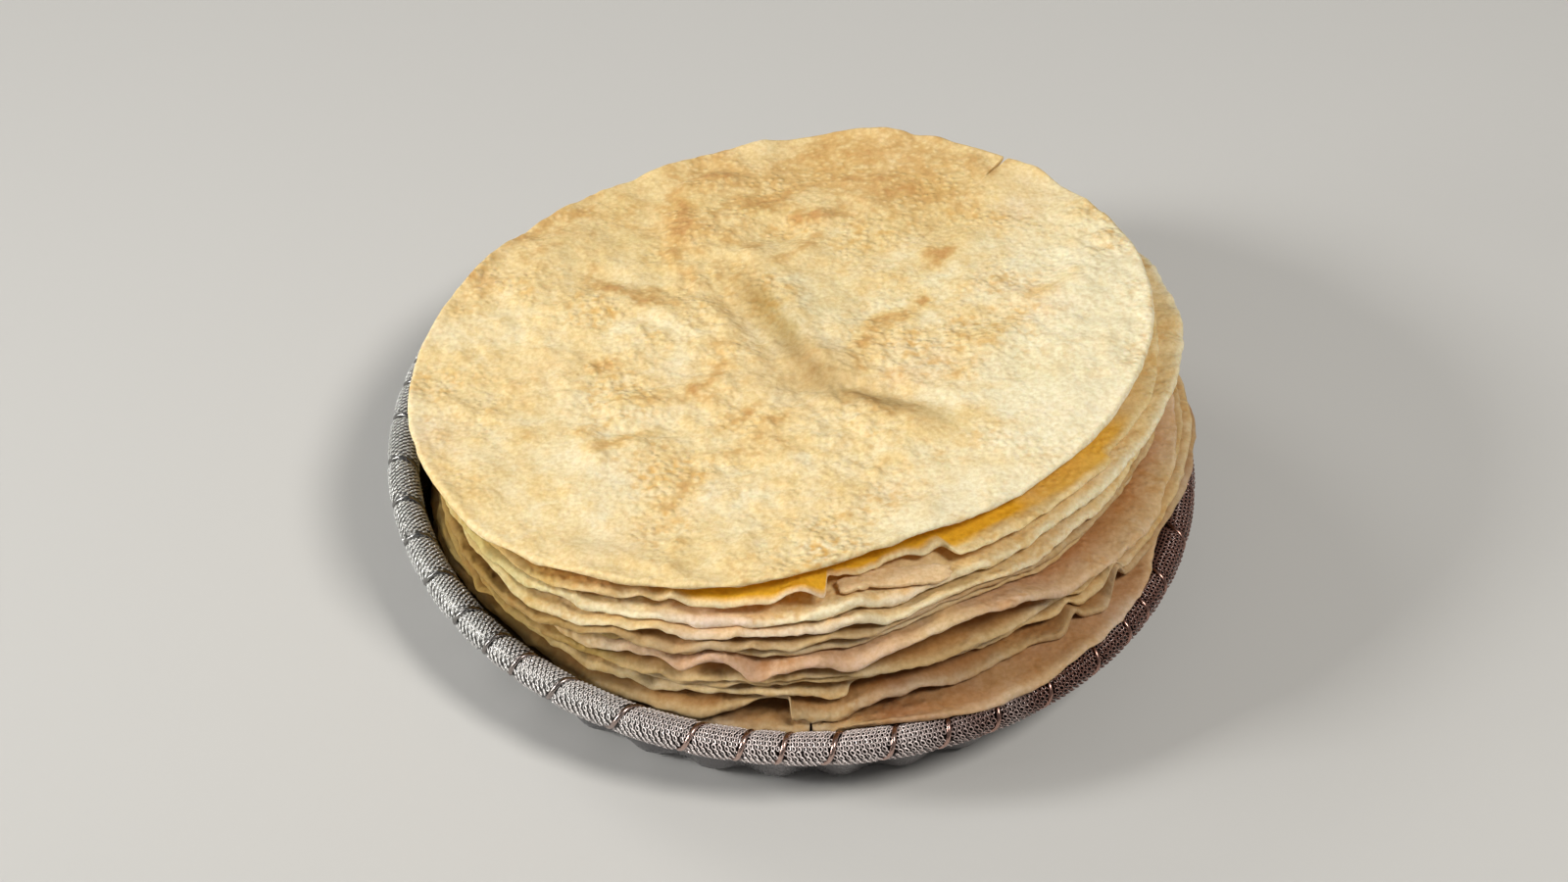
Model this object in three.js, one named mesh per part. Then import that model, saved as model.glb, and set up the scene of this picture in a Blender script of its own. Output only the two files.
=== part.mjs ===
// A stack of crisp papadums in a round fluted tray with a knitted rim bound in wire.
// Millimetres. +X is right, +Y is back, +Z is up; the origin is on the table under the tray's centre.
import * as THREE from "three";

// Papadums
const SHEET_THICKNESS = 1.2;
const SHEET_CLEARANCE = 0.7; // air between two papadums where they lie closest
const SHEET_SOFTNESS = 0.8; // how gently one papadum comes to rest on the next
const SHEET_SECTORS = 48;
const SHEET_EDGE = 100; // the outermost ring before it takes the sheet's own outline
const SHEET_RINGS = [45, 80, SHEET_EDGE];
const OVAL_DIRECTION = 45; // degrees; the sheets were rolled a little longer this way
const RIPPLE_WAVES = [3, 5, 8];

// Tray
const RIM_RADIUS = 106.8; // to the middle of the rope
const RIM_HEIGHT = 25; // middle of the rope above the table
const ROPE_RADIUS = 4.2;
const ROPE_WAIST = 2.95; // rope radius where the wire draws it in
const ROPE_SIDES = 8;
const WIRE_TURNS = 48;
const WIRE_COIL_RADIUS = 3.75;
const WIRE_RADIUS = 0.45;
const FLUTE_COUNT = 36;
const FLUTE_DEPTH = 1.1;

// How each papadum lies, from the lowest up: centre, radius, oval share, height of the centre,
// slope to the right and to the back, ripple height, then lobes of the outline and lifts of the edge,
// each as a direction in degrees, a half width in degrees and an amount in millimetres.
const SHEETS = [
  { at: [1, 0], radius: 99.8, oval: 0, height: 22.6, slope: [0.085, 0], ripple: 0.4,
    lobes: [[-42, 26, 8.5], [-68, 14, 4]], lifts: [[-48, 30, 2.4]] },
  { at: [4, -1], radius: 99.6, oval: 0.015, height: 27, slope: [0.075, -0.02], ripple: 0.8,
    lobes: [[2, 26, 6.4], [-58, 20, -3]], lifts: [[-75, 12, 4], [-38, 12, 2]] },
  { at: [5, 1], radius: 98.8, oval: 0.015, height: 30.5, slope: [0.075, -0.035], ripple: 0.8,
    lobes: [[4, 24, 5], [-58, 20, -3]], lifts: [[-72, 12, 3]] },
  { at: [4, 1], radius: 98.4, oval: 0.02, height: 32.8, slope: [0.075, -0.045], ripple: 0.7,
    lobes: [[0, 24, 3], [-58, 20, -3]], lifts: [] },
  { at: [3, 0], radius: 98.2, oval: 0.03, height: 35, slope: [0.077, -0.05], ripple: 0.7,
    lobes: [], lifts: [] },
  { at: [3, -1], radius: 98.8, oval: 0.03, height: 39, slope: [0.08, -0.06], ripple: 0.8,
    lobes: [[-28, 20, 5]], lifts: [[-64, 13, 5], [-102, 10, 2]] },
  { at: [1, 1], radius: 97, oval: 0.05, height: 41.5, slope: [0.083, -0.065], ripple: 0.7,
    lobes: [], lifts: [] },
  { at: [1, 0], radius: 97.4, oval: 0.06, height: 44, slope: [0.085, -0.07], ripple: 0.7,
    lobes: [], lifts: [] },
  { at: [0, 1], radius: 97.5, oval: 0.04, height: 47, slope: [0.09, -0.075], ripple: 0.6,
    lobes: [], lifts: [] },
  { at: [2, 5], radius: 99.2, oval: 0.07, height: 50.5, slope: [0.095, -0.085], ripple: 0.7,
    lobes: [[12, 14, 3]], lifts: [] },
  { at: [-1, 5], radius: 97.5, oval: 0.05, height: 54.5, slope: [0.1, -0.095], ripple: 0.8,
    lobes: [[-73, 8, -6]], lifts: [[-87, 10, 2.5]] },
  { at: [-5, 7], radius: 98.3, oval: 0.07, height: 58.5, slope: [0.105, -0.1], ripple: 0.5,
    lobes: [[-66, 16, -2.5], [82, 9, 1.5]], lifts: [[-98, 17, 2]] },
];

const RADIANS = Math.PI / 180;

// A repeatable number from 0 to 1 for two whole numbers.
function scatter(a, b) {
  const value = Math.sin(a * 12.9898 + b * 78.233) * 43758.5453;
  return value - Math.floor(value);
}

// The sum of bell-shaped bumps round an edge, at an angle in radians.
function bumps(list, angle) {
  let sum = 0;
  for (const [direction, width, amount] of list) {
    const away = angle - direction * RADIANS;
    const degrees = Math.atan2(Math.sin(away), Math.cos(away)) / RADIANS;
    sum += amount * Math.exp(-((degrees / width) ** 2));
  }
  return sum;
}

function smoothMax(a, b) {
  return (a + b + Math.hypot(a - b, SHEET_SOFTNESS)) / 2;
}

// The edge's distance from the tray's middle, for a sheet that lies a little off it.
function outlineRadius(sheet, angle) {
  const oval = sheet.oval * Math.cos(2 * (angle - OVAL_DIRECTION * RADIANS));
  const shift = sheet.at[0] * Math.cos(angle) + sheet.at[1] * Math.sin(angle);
  return sheet.radius * (1 + oval) + shift + bumps(sheet.lobes, angle);
}

// The height that a papadum would lie at by itself: a tilted plane with a rippled edge.
function ownHeight(index, x, y) {
  const sheet = SHEETS[index];
  const angle = Math.atan2(y, x);
  const share = Math.hypot(x, y) / SHEET_EDGE;
  let edge = bumps(sheet.lifts, angle);
  for (const waves of RIPPLE_WAVES) {
    edge += sheet.ripple * Math.cos(waves * angle + 2 * Math.PI * scatter(index + 1, waves));
  }
  const plane = sheet.slope[0] * (x - sheet.at[0]) + sheet.slope[1] * (y - sheet.at[1]);
  return sheet.height + plane + edge * share ** 4;
}

// The height that the rim holds an overhanging papadum up to.
function rimSupport(x, y) {
  const reach = ROPE_RADIUS + 0.8;
  const away = Math.hypot(x, y) - RIM_RADIUS;
  if (Math.abs(away) >= reach) return -100;
  return RIM_HEIGHT + Math.sqrt(reach * reach - away * away);
}

// The middle of a papadum: each rests on the one below wherever it would sink into it.
function sheetHeight(index, x, y) {
  let z = ownHeight(0, x, y);
  for (let k = 1; k <= index; k++) {
    z = smoothMax(ownHeight(k, x, y), z + SHEET_THICKNESS + SHEET_CLEARANCE);
  }
  return Math.max(z, rimSupport(x, y) + SHEET_THICKNESS / 2);
}

// A thin wavy solid: rings of points on the lower and the upper face, both split into triangles alike.
function papadumGeometry(index) {
  const sheet = SHEETS[index];
  const points = [];
  for (const face of [-0.5, 0.5]) {
    const offset = face * SHEET_THICKNESS;
    points.push(0, 0, sheetHeight(index, 0, 0) + offset);
    for (const ring of SHEET_RINGS) {
      for (let sector = 0; sector < SHEET_SECTORS; sector++) {
        const angle = (2 * Math.PI * sector) / SHEET_SECTORS;
        const radius = ring === SHEET_EDGE ? outlineRadius(sheet, angle) : ring;
        const x = radius * Math.cos(angle);
        const y = radius * Math.sin(angle);
        points.push(x, y, sheetHeight(index, x, y) + offset);
      }
    }
  }
  const facePoints = points.length / 6;
  const lastRing = SHEET_RINGS.length - 1;
  const vertex = (ring, sector) => 1 + ring * SHEET_SECTORS + (sector % SHEET_SECTORS);
  const triangles = [];
  const addBothFaces = (a, b, c) => {
    triangles.push(a, c, b);
    triangles.push(facePoints + a, facePoints + b, facePoints + c);
  };
  for (let sector = 0; sector < SHEET_SECTORS; sector++) {
    addBothFaces(0, vertex(0, sector), vertex(0, sector + 1));
    for (let ring = 0; ring < lastRing; ring++) {
      addBothFaces(vertex(ring, sector), vertex(ring + 1, sector), vertex(ring + 1, sector + 1));
      addBothFaces(vertex(ring, sector), vertex(ring + 1, sector + 1), vertex(ring, sector + 1));
    }
    const here = vertex(lastRing, sector);
    const next = vertex(lastRing, sector + 1);
    triangles.push(here, next, facePoints + next);
    triangles.push(here, facePoints + next, facePoints + here);
  }
  const geometry = new THREE.BufferGeometry();
  geometry.setAttribute("position", new THREE.Float32BufferAttribute(points, 3));
  geometry.setIndex(triangles);
  geometry.computeVertexNormals();
  return geometry;
}

// The tray: a turned profile of radius, height and flute share, with flutes that fade out at the foot.
function bowlGeometry() {
  const sections = [
    [0, 0, 0], [92, 0, 0],
    [95.4, 0.8, 1], [98, 4, 1], [101.3, 10.5, 1], [103.8, 15.5, 1], [106.2, 20.1, 0.5],
    [104.4, 20.1, 0.5], [101.7, 15.5, 1], [99.2, 10.5, 1], [95.6, 5.2, 1],
    [92, 2.6, 0], [0, 2.6, 0],
  ];
  const profile = sections.map(([radius, height]) => new THREE.Vector2(radius, height));
  const geometry = new THREE.LatheGeometry(profile, FLUTE_COUNT * 3);
  const position = geometry.attributes.position;
  for (let i = 0; i < position.count; i++) {
    const share = sections[i % sections.length][2];
    const angle = Math.atan2(position.getX(i), position.getZ(i));
    const radius = Math.hypot(position.getX(i), position.getZ(i));
    const fluted = radius + share * FLUTE_DEPTH * Math.cos(FLUTE_COUNT * angle);
    position.setX(i, fluted * Math.sin(angle));
    position.setZ(i, fluted * Math.cos(angle));
  }
  geometry.rotateX(Math.PI / 2);
  geometry.computeVertexNormals();
  return geometry;
}

// Where the wire is along the rim: turns of the coil become an angle, with uneven spacing.
function coilAngle(turn, around) {
  const drawn = (around - 0.6 * Math.sin(around - Math.PI / 4)) / (2 * Math.PI);
  const along = (turn + drawn) / WIRE_TURNS;
  const wander = 0.0045 * Math.sin(14 * Math.PI * along + 1) + 0.003 * Math.sin(22 * Math.PI * along + 2.6);
  return 2 * Math.PI * (along + wander);
}

function rimPoint(angle, around, radius) {
  const out = RIM_RADIUS + radius * Math.cos(around);
  const height = RIM_HEIGHT + radius * Math.sin(around);
  return new THREE.Vector3(out * Math.cos(angle), out * Math.sin(angle), height);
}

// The rope swells between the turns of wire; its rows of points run along the wire.
function ropeGeometry() {
  const stations = WIRE_TURNS * 3;
  const geometry = new THREE.TorusGeometry(RIM_RADIUS, ROPE_RADIUS, ROPE_SIDES, stations);
  const position = geometry.attributes.position;
  for (let side = 0; side <= ROPE_SIDES; side++) {
    for (let station = 0; station <= stations; station++) {
      const around = (2 * Math.PI * side) / ROPE_SIDES;
      const radius = station % 3 === 0 ? ROPE_WAIST : ROPE_RADIUS;
      const point = rimPoint(coilAngle(station / 3, around), around, radius);
      position.setXYZ(side * (stations + 1) + station, point.x, point.y, point.z);
    }
  }
  geometry.computeVertexNormals();
  return geometry;
}

// One closed wire wound round the rope.
class CoilCurve extends THREE.Curve {
  getPoint(t, target = new THREE.Vector3()) {
    const turn = t * WIRE_TURNS;
    const whole = Math.floor(turn);
    const around = 2 * Math.PI * (turn - whole);
    return target.copy(rimPoint(coilAngle(whole, around), around, WIRE_COIL_RADIUS));
  }

  getPointAt(t, target) {
    return this.getPoint(t, target);
  }
}

function wireGeometry() {
  return new THREE.TubeGeometry(new CoilCurve(), WIRE_TURNS * ROPE_SIDES, WIRE_RADIUS, 3, true);
}

// Materials
const crisp = () => new THREE.MeshStandardMaterial({ color: 0xe4c98c, roughness: 0.75 });
const fluted = new THREE.MeshStandardMaterial({ color: 0x8d8a8c, roughness: 0.3, metalness: 1 });
const knitted = new THREE.MeshStandardMaterial({ color: 0xa9a4a4, roughness: 0.45, metalness: 1 });
const wire = new THREE.MeshStandardMaterial({ color: 0xb9b2b0, roughness: 0.25, metalness: 1 });

function named(name, geometry, material) {
  const mesh = new THREE.Mesh(geometry, material);
  mesh.name = name;
  return mesh;
}

const stack = new THREE.Group();
stack.name = "papadum_stack";
stack.add(named("tray_bowl", bowlGeometry(), fluted));
stack.add(named("rim_rope", ropeGeometry(), knitted));
stack.add(named("rim_wire", wireGeometry(), wire));
SHEETS.forEach((sheet, index) => {
  const name = `papadum_${String(index + 1).padStart(2, "0")}`;
  stack.add(named(name, papadumGeometry(index), crisp()));
});

export default stack;
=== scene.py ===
import math

import bpy
import numpy as np
from mathutils import Matrix, Vector


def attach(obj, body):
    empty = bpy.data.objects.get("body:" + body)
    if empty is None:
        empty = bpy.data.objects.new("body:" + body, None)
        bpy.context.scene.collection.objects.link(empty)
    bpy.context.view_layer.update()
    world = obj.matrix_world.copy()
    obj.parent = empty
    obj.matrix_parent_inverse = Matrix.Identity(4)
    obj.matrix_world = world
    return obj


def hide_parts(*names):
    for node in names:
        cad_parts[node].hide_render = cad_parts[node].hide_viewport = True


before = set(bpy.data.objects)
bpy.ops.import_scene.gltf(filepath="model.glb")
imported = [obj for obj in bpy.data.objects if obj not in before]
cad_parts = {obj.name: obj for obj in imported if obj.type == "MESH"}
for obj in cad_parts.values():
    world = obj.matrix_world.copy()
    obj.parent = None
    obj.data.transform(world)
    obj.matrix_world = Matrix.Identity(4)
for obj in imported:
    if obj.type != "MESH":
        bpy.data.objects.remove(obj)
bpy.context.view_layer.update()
mm = 0.001
scene = bpy.context.scene
scene.view_settings.view_transform = "Standard"
print("frame loaded,", len(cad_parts), "nodes")


# shader maths: an expression on Val sockets and numbers adds its Math nodes
class Val:
    def __init__(self, look, socket):
        self.look = look
        self.socket = socket

    def math(self, operation, first, second=0.0):
        return self.look.node("ShaderNodeMath", {"operation": operation}, {0: first, 1: second})

    def __add__(self, other):
        return self.math("ADD", self, other)

    def __radd__(self, other):
        return self.math("ADD", other, self)

    def __sub__(self, other):
        return self.math("SUBTRACT", self, other)

    def __rsub__(self, other):
        return self.math("SUBTRACT", other, self)

    def __mul__(self, other):
        return self.math("MULTIPLY", self, other)

    def __rmul__(self, other):
        return self.math("MULTIPLY", other, self)

    def between(self, low, high):  # 0 below low, 1 above high, eased
        kind = {"interpolation_type": "SMOOTHSTEP"}
        return self.look.node("ShaderNodeMapRange", kind, {0: self, 1: low, 2: high, 3: 0.0, 4: 1.0})


# one material: its tree, its Principled shader and the method that adds nodes
class Look:
    def __init__(self, name):
        self.material = bpy.data.materials.new(name)
        self.material.use_nodes = True
        self.tree = self.material.node_tree
        self.shader = self.tree.nodes["Principled BSDF"]

    def node(self, kind, settings=None, inputs=None, out=0):
        made = self.tree.nodes.new(kind)
        for key, value in (settings or {}).items():
            setattr(made, key, value)
        for key, value in (inputs or {}).items():
            self.feed(made.inputs[key], value)
        return Val(self, made.outputs[out])

    def feed(self, socket, value):
        if isinstance(value, Val):
            self.tree.links.new(value.socket, socket)
        else:
            socket.default_value = value

    def place(self):
        return self.node("ShaderNodeTexCoord", out="Object")

    def own(self, name):  # a number stored on the mesh
        return self.node("ShaderNodeAttribute", {"attribute_name": name}, out="Fac")

    def noise(self, place, scale, detail=3.0, rough=0.55):
        values = {"Vector": place, "Scale": scale, "Detail": detail, "Roughness": rough}
        return self.node("ShaderNodeTexNoise", None, values)

    def cells(self, place, scale):
        values = {"Vector": place, "Scale": scale}
        return self.node("ShaderNodeTexVoronoi", {"feature": "SMOOTH_F1"}, values)

    def blend(self, share, low, high, kind="MIX"):
        kinds = {"data_type": "RGBA", "blend_type": kind}
        return self.node("ShaderNodeMix", kinds, {0: share, 6: low, 7: high}, 2)

    def bump(self, height, strength, distance):
        values = {"Strength": strength, "Distance": distance, "Height": height}
        return self.node("ShaderNodeBump", None, values, "Normal")

    def set(self, **values):
        for key, value in values.items():
            self.feed(self.shader.inputs[key.replace("_", " ")], value)


def tint(red, green, blue):  # a display colour, 0 to 255, as linear light
    shares = [c/255.0 for c in (red, green, blue)]
    return tuple(s/12.92 if s <= 0.04045 else ((s + 0.055)/1.055)**2.4 for s in shares) + (1.0,)


dough = {
    # noise cells for each metre
    "broad": 38.0, "mottle": 130.0, "fleck": 280.0, "grain": 800.0, "pimples": 520.0,
    "cream": tint(246, 236, 202),
    "straw": tint(239, 214, 159),
    "pit": tint(226, 182, 106),
    "baked": tint(216, 176, 112),
    "browned": tint(200, 146, 88),
    # of the five below, the pocket colour and the dimming colour are painted shade; the others are the
    # dough's own tints
    "rosy": tint(242, 226, 250),   # this and the next four stain what lies under them
    "olive": tint(228, 222, 170),
    "pocketShade": tint(206, 160, 110),
    "speck": tint(240, 234, 222),
    "dimShade": tint(176, 164, 154),
    # painted light: a yellow colour and faint glow in the gap under the top sheet, for light through it
    "glow": tint(242, 186, 48),
    "glowLight": tint(255, 180, 24), "glowStrength": 0.05,
    "bump": 0.8, "bumpDepth": 0.00036,
}


# baked papadum dough: cream with ochre pits and toasted patches, changed by the numbers of each sheet:
# toast browns it, tone turns it rosy or olive, two shade numbers paint shade, glow paints light, crisp
# roughens it
def papadumLook():
    look = Look("baked_papadum")
    place = look.place()
    toast, tone, recessShade, glow = [look.own(name) for name in ("toast", "tone", "recessShade", "glow")]
    crisp, dimShade = look.own("crisp"), look.own("dimShade")
    broad = look.noise(place, dough["broad"], 3.0, 0.6)
    mottle = look.noise(place, dough["mottle"], 3.0, 0.6)
    fleck = look.noise(place, dough["fleck"], 2.0, 0.5)
    grain = look.noise(place, dough["grain"], 2.0, 0.6)
    pimple = 1.0 - look.cells(place, dough["pimples"]).between(0.05, 0.65)
    patch = toast*(0.45 + mottle*1.1) + (mottle - 0.5)*1.5*crisp + (broad - 0.5)*0.9
    pit = (1.0 - pimple)*fleck.between(0.42, 0.66)*broad.between(0.42, 0.6)
    spot = patch*(1.4 - pimple*0.8)
    speck = look.blend(grain.between(0.3, 0.7), dough["speck"], tint(255, 255, 255))
    colour = look.blend(patch.between(-0.75, 0.2), dough["cream"], dough["straw"])
    colour = look.blend(pit*crisp*0.8, colour, dough["pit"])
    colour = look.blend(spot.between(0.1, 0.9)*0.85, colour, dough["baked"])
    colour = look.blend(spot.between(0.75, 1.5)*0.55, colour, dough["browned"])
    colour = look.blend(tone.between(0.0, 1.0), colour, dough["rosy"], "MULTIPLY")
    colour = look.blend((0.0 - tone).between(0.0, 1.0), colour, dough["olive"], "MULTIPLY")
    # painted shade in the recesses between the sheets
    colour = look.blend(recessShade, colour, dough["pocketShade"], "MULTIPLY")
    # painted light in the gap under the top sheet
    colour = look.blend(glow, colour, dough["glow"])
    colour = look.blend(1.0, colour, speck, "MULTIPLY")
    # painted shade: darker lower sheets, left flank and the top's fold
    colour = look.blend(dimShade, colour, dough["dimShade"], "MULTIPLY")
    height = (mottle*0.7 + fleck*0.5 + pimple*(0.5 + broad.between(0.4, 0.62)))*crisp
    look.set(Base_Color=colour, Roughness=0.58 + grain*0.25,
             Normal=look.bump(height, dough["bump"], dough["bumpDepth"]))
    # the painted light also glows faintly
    look.set(Emission_Color=look.blend(glow, (0.0, 0.0, 0.0, 1.0), dough["glowLight"]),
             Emission_Strength=dough["glowStrength"])
    look.set(Subsurface_Weight=0.12, Subsurface_Radius=(1.0, 0.55, 0.18), Subsurface_Scale=0.0015,
             Specular_IOR_Level=0.25)
    return look.material


metals = {
    # silver at the left, rose at the front, copper at the right, a painted reflection and shade; scratch is
    # noise cells for each metre
    # the bowl's dark grey is a painted reflection of a dark surrounding
    "bowl": dict(name="fluted_metal_dark_reflection", silver=(110, 110, 112), roseReflection=(104, 98, 100),
                 shadedCopper=(92, 84, 84), rough=0.28, scratch=900.0),
    "knit": dict(name="knitted_wire_look", silver=(255, 255, 252), roseReflection=(254, 240, 236),
                 shadedCopper=(132, 92, 80), rough=0.2, scratch=1500.0, metallic=0.2, coat=1.0),
    # the core's dark colour is painted shade in the gaps between the loops, lighter at the left as painted
    # light
    "core": dict(name="rope_core_shade_look", silver=(125, 124, 121), roseReflection=(50, 44, 42),
                 shadedCopper=(28, 21, 19), rough=0.45, scratch=1200.0),
    "wire": dict(name="binding_wire_look", silver=(140, 139, 137), roseReflection=(192, 164, 154),
                 shadedCopper=(166, 128, 116), rough=0.25, scratch=1200.0),
}


# bright metal: colour leans from silver over rose to copper round the rim as painted reflection and shade,
# with rubbed roughness
def metalLook(name, silver, roseReflection, shadedCopper, rough, scratch, metallic=1.0, coat=0.0):
    look = Look(name)
    place = look.place()
    right = look.node("ShaderNodeSeparateXYZ", None, {0: place})
    back = look.node("ShaderNodeSeparateXYZ", None, {0: place}, 1)
    side = right*9.0 - back*4.0 + (look.noise(place, 40.0, 2.0) - 0.5)*0.8   # grows to the right and front
    fine = look.noise(place, scratch, 3.0, 0.6)
    wide = look.noise(place, 60.0, 3.0, 0.5)
    colour = look.blend(side.between(-0.55, 0.45), tint(*silver), tint(*roseReflection))
    colour = look.blend(side.between(0.55, 1.0), colour, tint(*shadedCopper))
    look.set(Base_Color=colour, Metallic=metallic, Coat_Weight=coat, Coat_Roughness=0.12,
             Roughness=rough + (fine - 0.5)*0.16 + (wide - 0.5)*0.14, Normal=look.bump(fine, 0.12, 0.0002))
    return look.material


looks = {"papadum": papadumLook()}
for key, metal in metals.items():
    looks[key] = metalLook(**metal)
print("materials made:", ", ".join(looks))


# mesh from arrays in millimetres; faces is a list of whole-number arrays, one row a face
def addPiece(name, points, faces, look, nodes=(), numbers=None):
    mesh = bpy.data.meshes.new(name)
    sizes = np.concatenate([np.full(len(f), f.shape[1]) for f in faces])
    corners = np.concatenate([f.ravel() for f in faces]).astype(np.int32)
    starts = np.concatenate([[0], np.cumsum(sizes)[:-1]]).astype(np.int32)
    mesh.vertices.add(len(points))
    mesh.vertices.foreach_set("co", (points*mm).astype(np.float32).ravel())
    mesh.loops.add(len(corners))
    mesh.loops.foreach_set("vertex_index", corners)
    mesh.polygons.add(len(sizes))
    mesh.polygons.foreach_set("loop_start", starts)
    mesh.polygons.foreach_set("use_smooth", np.ones(len(sizes), dtype=bool))
    mesh.update(calc_edges=True)
    mesh.validate()
    for key, values in (numbers or {}).items():
        mesh.attributes.new(key, "FLOAT", "POINT").data.foreach_set("value", values.astype(np.float32))
    mesh.materials.append(looks[look])
    piece = bpy.data.objects.new(name, mesh)
    scene.collection.objects.link(piece)
    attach(piece, "root")
    if nodes:
        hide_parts(*nodes)


# quads of a grid of rows by columns, closed along the columns, and along the rows too if asked
def gridFaces(rows, columns, closedRows=False):
    row = np.arange(rows if closedRows else rows - 1)[:, None]
    column = np.arange(columns)[None, :]
    upper = (row + 1) % rows
    right = (column + 1) % columns
    quads = [row*columns + column, row*columns + right, upper*columns + right, upper*columns + column]
    return np.stack([np.broadcast_to(q, (len(row), columns)) for q in quads], -1).reshape(-1, 4)


# smooth noise from -1 to 1: random heights on a square lattice, eased between its corners
def planeNoise(x, y, cell, seed):
    table = np.random.default_rng(seed).uniform(-1.0, 1.0, (64, 64))
    u = x/cell + 31.7
    v = y/cell + 17.3
    i = np.floor(u).astype(int)
    j = np.floor(v).astype(int)
    fu = u - i
    fv = v - j
    fu = fu*fu*fu*(fu*(fu*6 - 15) + 10)
    fv = fv*fv*fv*(fv*(fv*6 - 15) + 10)
    low = table[i % 64, j % 64]*(1 - fu) + table[(i + 1) % 64, j % 64]*fu
    high = table[i % 64, (j + 1) % 64]*(1 - fu) + table[(i + 1) % 64, (j + 1) % 64]*fu
    return low*(1 - fv) + high*fv


# sum of turned noise octaves, each half as wide and less strong
def mixedNoise(x, y, cell, seed, octaves=3, fade=0.5):
    total = 0.0
    for step in range(octaves):
        c, s = math.cos(0.7*step), math.sin(0.7*step)
        total = total + fade**step*planeNoise(c*x - s*y, s*x + c*y, cell/2.0**step, seed + 11*step)
    return total


# sum of domes: one random point in each lattice cell, height own size * (1 - (distance / own radius)^2)^2
def blisters(x, y, cell, seed):
    draw = np.random.default_rng(seed)
    shiftX, shiftY, size = draw.uniform(0.1, 0.9, (3, 64, 64))
    u = x/cell + 32.0
    v = y/cell + 32.0
    i = np.floor(u).astype(int)
    j = np.floor(v).astype(int)
    total = np.zeros_like(x)
    for a in (-1, 0, 1):
        for b in (-1, 0, 1):
            ci, cj = (i + a) % 64, (j + b) % 64
            du = u - (i + a) - shiftX[ci, cj]
            dv = v - (j + b) - shiftY[ci, cj]
            dome = np.maximum(1 - (du*du + dv*dv)/(0.2 + 0.6*size[ci, cj])**2, 0.0)
            total += size[ci, cj]*dome*dome
    return total


# smooth noise round the edge: random numbers at even steps, eased between them
def edgeNoise(degrees, steps, seed):
    table = np.random.default_rng(seed).uniform(-1.0, 1.0, steps)
    u = degrees/360.0*steps
    i = np.floor(u).astype(int)
    f = u - i
    f = f*f*(3 - 2*f)
    return table[i % steps]*(1 - f) + table[(i + 1) % steps]*f


# sum of edge noises: size * noise of so many steps, each with its own seed
def edgeSum(rows, degrees, seed, apart):
    total = np.zeros_like(degrees)
    for number, (steps, size) in enumerate(rows):
        total += size*edgeNoise(degrees, steps, seed + apart*number)
    return total


def fromAngle(degrees, place):  # signed angle from a place, -180 to 180
    return (degrees - place + 180.0) % 360.0 - 180.0


def ramp(value, low, high):  # 0 below low, 1 above high, straight between
    return np.clip((value - low)/(high - low), 0.0, 1.0)


# sum of bells along the edge: amount * exp(-(angle from the place / half width)^2)
def bellSum(rows, degrees):
    total = np.zeros_like(degrees)
    for place, width, amount in rows:
        total += amount*np.exp(-(fromAngle(degrees, place)/width)**2)
    return total


# sum of flat steps: amount between two angles, eased by its own half width at each end
def stepSum(rows, degrees):
    total = np.zeros_like(degrees)
    for start, stop, amount, easeIn, easeOut in rows:
        rise = 1/(1 + np.exp(-np.clip(fromAngle(degrees, start)/easeIn, -40, 40)))
        fall = 1/(1 + np.exp(np.clip(fromAngle(degrees, stop)/easeOut, -40, 40)))
        total += amount*rise*fall
    return total


stack = {
    "halfThick": 0.6,      # half of a sheet's thickness
    "spacing": 1.9,        # least distance between the middles of two sheets
    "softness": 0.8,       # how gently a sheet comes to rest on the one below
    "edgeRound": 1.2,      # how far the rounded edge reaches
    "edgeTurns": (68.0, 45.0, 22.0, 0.0, -22.0, -45.0, -68.0),
    "waves": (3, 5, 8),    # slow ripples round the edge
    "fineWaves": (13, 19, 29), "fineRipple": 0.22,
    # uneven outline and uneven edge height: steps round the edge, mm
    "crumbs": ((36, 0.45), (110, 0.42), (300, 0.24)), "topCrumbs": 0.45,
    "lumps": ((120, 0.8), (290, 0.35)), "lumpReach": 5.0,
    # uneven edge thickness: steps round the edge, share
    "knobs": ((90, 0.4), (260, 0.2)), "knobReach": 3.0,
    "sectors": 560,
    # rings as shares of the radius
    "rings": (0.25, 0.45, 0.58, 0.68, *np.linspace(0.74, 0.97, 14), 0.985, 1.0),
    "lowerRings": (0.3, 0.55, 0.7, 0.8, 0.86, 0.9, 0.93, 0.96, 0.98, 1.0),
    # unevenness of the faces: mm from one to the next, mm high
    "soft": (24.0, 0.35), "softRelief": (9.0, 0.35),
    "coarseBlister": (6.5, 0.75), "fineBlister": (3.2, 0.4), "reliefDrop": 0.2,
    "ropeReach": 4.85,     # radius that the rim holds a sheet off
    "droopReach": 3.6,     # how far in from the edge a sheet bends down
    "sag": 3.0,            # how far the hidden middles hang below the edges
    "lowSheets": 6,        # sheets that lie deep in the tray
}
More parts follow.
